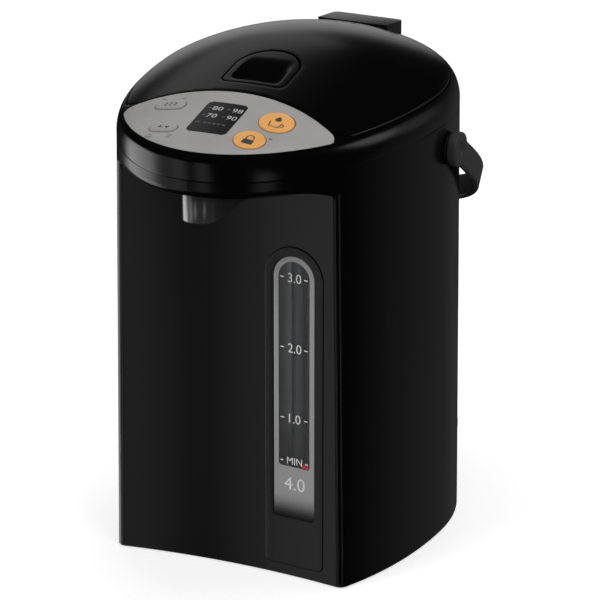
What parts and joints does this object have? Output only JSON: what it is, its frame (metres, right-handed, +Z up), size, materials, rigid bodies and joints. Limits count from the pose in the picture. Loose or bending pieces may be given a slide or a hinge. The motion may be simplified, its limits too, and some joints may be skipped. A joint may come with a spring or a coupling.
{
  "type": "electric thermo pot",
  "caption": "Electric airpot that keeps water hot: oval body with a concave front panel, level gauge, spout under a nose, touch panel, hinged lid with a finger lever, bail handle.",
  "frame": {"origin": "on the tank's axis, at the surface the pot stands on (underside of the foot ring)", "axes": "+X to the right seen from the front, -Y towards the spout and the user, +Z up"},
  "size_m": [0.235, 0.3145, 0.3517],
  "materials": {
    "body_black": "satin black",
    "cover_black": "semi-gloss black",
    "handle_black": "satin black",
    "inner_black": "plain moulded black",
    "fascia_grey": "satin silver grey lacquer",
    "display_smoke": "smoked window",
    "board_green": "circuit board",
    "switch_black": "plain",
    "button_orange": "glossy orange",
    "button_silver": "satin silver",
    "plate_silver": "brushed silver",
    "gauge_clear": "clear window",
    "tube_clear": "clear tube",
    "hose_silicone": "translucent silicone",
    "nozzle_black": "plain",
    "tank_steel": "brushed inside",
    "shield_aluminium": "plain sheet",
    "heater_aluminium": "cast",
    "sensor_brass": "plain",
    "pump_white": "plain",
    "motor_steel": "drawn can",
    "magnet_dark": "plain",
    "pin_steel": "plain",
    "foot_rubber": "matt black",
    "gasket_silicone": "matt grey"
  },
  "bodies": {
    "pot": {"body_shell": "body_black", "base_plate": "inner_black", "base_screws": "pin_steel", "foot_ring": "foot_rubber", "head_cover": "cover_black", "control_fascia": "fascia_grey", "display_window": "display_smoke", "control_board": "board_green", "key_switches": "switch_black", "gauge_cover": "cover_black", "gauge_plate": "plate_silver", "gauge_window": "gauge_clear", "gauge_tube": "tube_clear", "spout_shroud": "cover_black", "spout_nozzle": "nozzle_black", "outlet_hose": "hose_silicone", "riser_hose": "hose_silicone", "inner_tank": "tank_steel", "tank_collar": "inner_black", "heat_shield": "shield_aluminium", "heater_plate": "heater_aluminium", "temperature_sensor": "sensor_brass", "thermostat": "switch_black", "pump_housing": "pump_white", "pump_motor": "motor_steel", "inlet_hose": "hose_silicone", "power_board": "board_green", "power_inlet": "inner_black", "inlet_pins": "pin_steel", "inlet_magnets": "magnet_dark", "hinge_bracket": "inner_black", "hinge_pin": "pin_steel", "handle_pivots": "inner_black"},
    "lid": {"lid_shell": "cover_black", "lid_base": "inner_black", "lid_screws": "pin_steel", "inner_lid_plate": "tank_steel", "lid_gasket": "gasket_silicone", "steam_duct": "inner_black", "hinge_block": "cover_black", "lever_pin": "pin_steel"},
    "lever": {"lid_lever": "cover_black"},
    "latch": {"lid_latch": "inner_black"},
    "handle": {"handle": "handle_black"},
    "dispense_button": {"dispense_button": "button_orange"},
    "unlock_button": {"unlock_button": "button_orange"},
    "reboil_button": {"reboil_button": "button_silver"},
    "select_button": {"select_button": "button_silver"},
    "impeller": {"pump_impeller": "pump_white"}
  },
  "joints": [
    {"name": "lid_hinge", "type": "hinge", "parent": "pot", "child": "lid", "pos_m": [0, 0.1135, 0.323], "axis": [-1, 0, 0], "range_deg": [0, 90]},
    {"name": "lever_pivot", "type": "hinge", "parent": "lid", "child": "lever", "pos_m": [0, -0.0335, 0.34613], "axis": [-1, 0, 0], "range_deg": [0, 35], "stiffness_Nm_per_rad": 0.08, "springref_deg": -14.32},
    {"name": "latch_slide", "type": "slide", "parent": "lid", "child": "latch", "axis": [0, 1, 0], "range_m": [0, 0.004]},
    {"name": "handle_swing", "type": "hinge", "parent": "pot", "child": "handle", "pos_m": [0, 0.0075, 0.2825], "axis": [1, 0, 0], "range_deg": [0, 150]},
    {"name": "dispense_press", "type": "slide", "parent": "pot", "child": "dispense_button", "axis": [0, 0.2067, -0.9784], "range_m": [0, 0.0008], "stiffness_N_per_m": 900, "springref_m": -0.0008},
    {"name": "unlock_press", "type": "slide", "parent": "pot", "child": "unlock_button", "axis": [0, 0.2067, -0.9784], "range_m": [0, 0.0008], "stiffness_N_per_m": 900, "springref_m": -0.0008},
    {"name": "reboil_press", "type": "slide", "parent": "pot", "child": "reboil_button", "axis": [0, 0.2067, -0.9784], "range_m": [0, 0.0008], "stiffness_N_per_m": 900, "springref_m": -0.0008},
    {"name": "select_press", "type": "slide", "parent": "pot", "child": "select_button", "axis": [0, 0.2067, -0.9784], "range_m": [0, 0.0008], "stiffness_N_per_m": 900, "springref_m": -0.0008},
    {"name": "impeller_spin", "type": "hinge", "parent": "pot", "child": "impeller", "pos_m": [0.0341, -0.05, 0.025], "axis": [0, 0, 1], "continuous": true}
  ],
  "couplings": [
    {"joint": "latch_slide", "follows": "lever_pivot", "m_per_rad": 0.0065}
  ]
}
